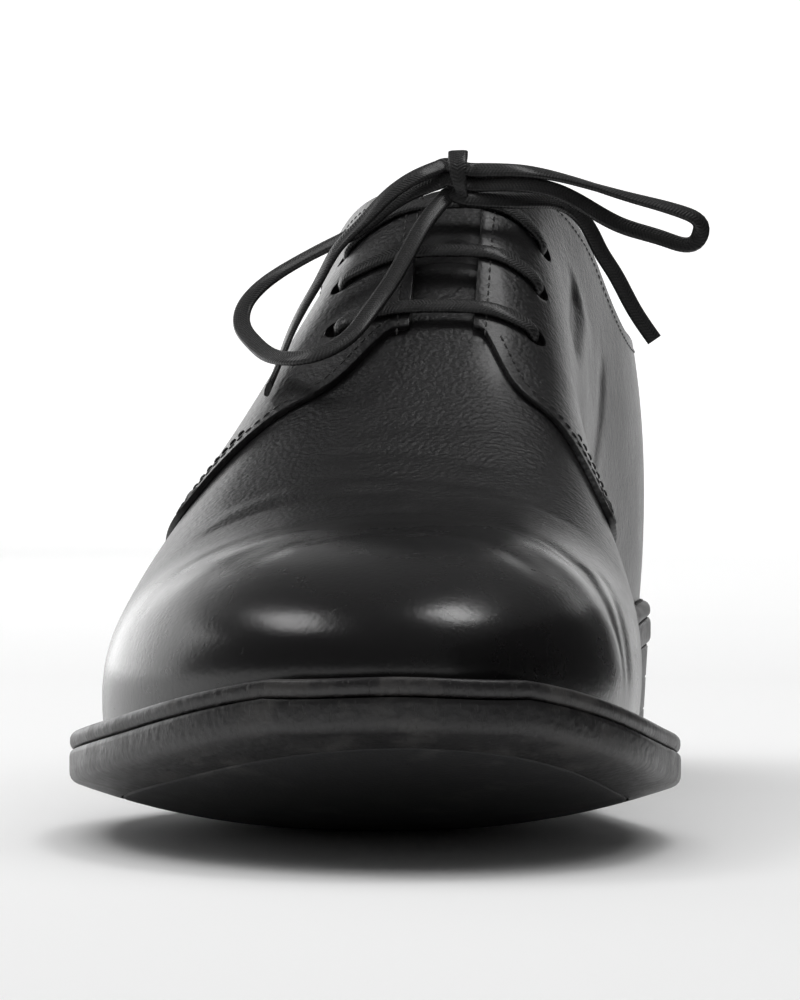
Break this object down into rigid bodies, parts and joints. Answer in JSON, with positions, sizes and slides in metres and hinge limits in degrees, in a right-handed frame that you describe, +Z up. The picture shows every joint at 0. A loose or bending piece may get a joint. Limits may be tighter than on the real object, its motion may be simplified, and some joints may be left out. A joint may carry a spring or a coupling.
{
  "type": "derby shoe",
  "caption": "Plain-toe derby dress shoe for the right foot, with open lacing, a tied bow, a welt all round, a rubber forepart insert and a low stacked heel.",
  "frame": {"origin": "on the floor, under the middle of the sole's outline", "axes": "+Z up, -Y towards the toe, +X towards the medial side (the wearer's left, the viewer's right from the front)"},
  "size_m": [0.1054, 0.298, 0.1173],
  "materials": {
    "calf": "black calf, fine grain, polished",
    "tongue_leather": "black calf, less polished",
    "lining": "matte black lining leather",
    "insole_leather": "matte black sock leather",
    "welt_leather": "black, waxed, stitched",
    "sole_leather": "black waxed edge",
    "heel_leather": "black waxed stack",
    "sole_rubber": "matte black rubber",
    "thread": "black waxed thread",
    "lace": "flat woven cotton, waxed"
  },
  "bodies": {
    "root": {"upper": "calf", "tongue": "tongue_leather", "insole": "insole_leather", "welt": "welt_leather", "outsole": "sole_leather", "forepart_insert": "sole_rubber", "heel_stack": "heel_leather", "heel_top_piece": "sole_rubber", "lace_bar_1": "lace", "lace_bar_2": "lace", "lace_bar_3": "lace", "lace_knot": "lace", "lace_loop_left": "lace", "lace_end_left": "lace", "lace_loop_right": "lace", "lace_end_right": "lace"}
  },
  "joints": []
}
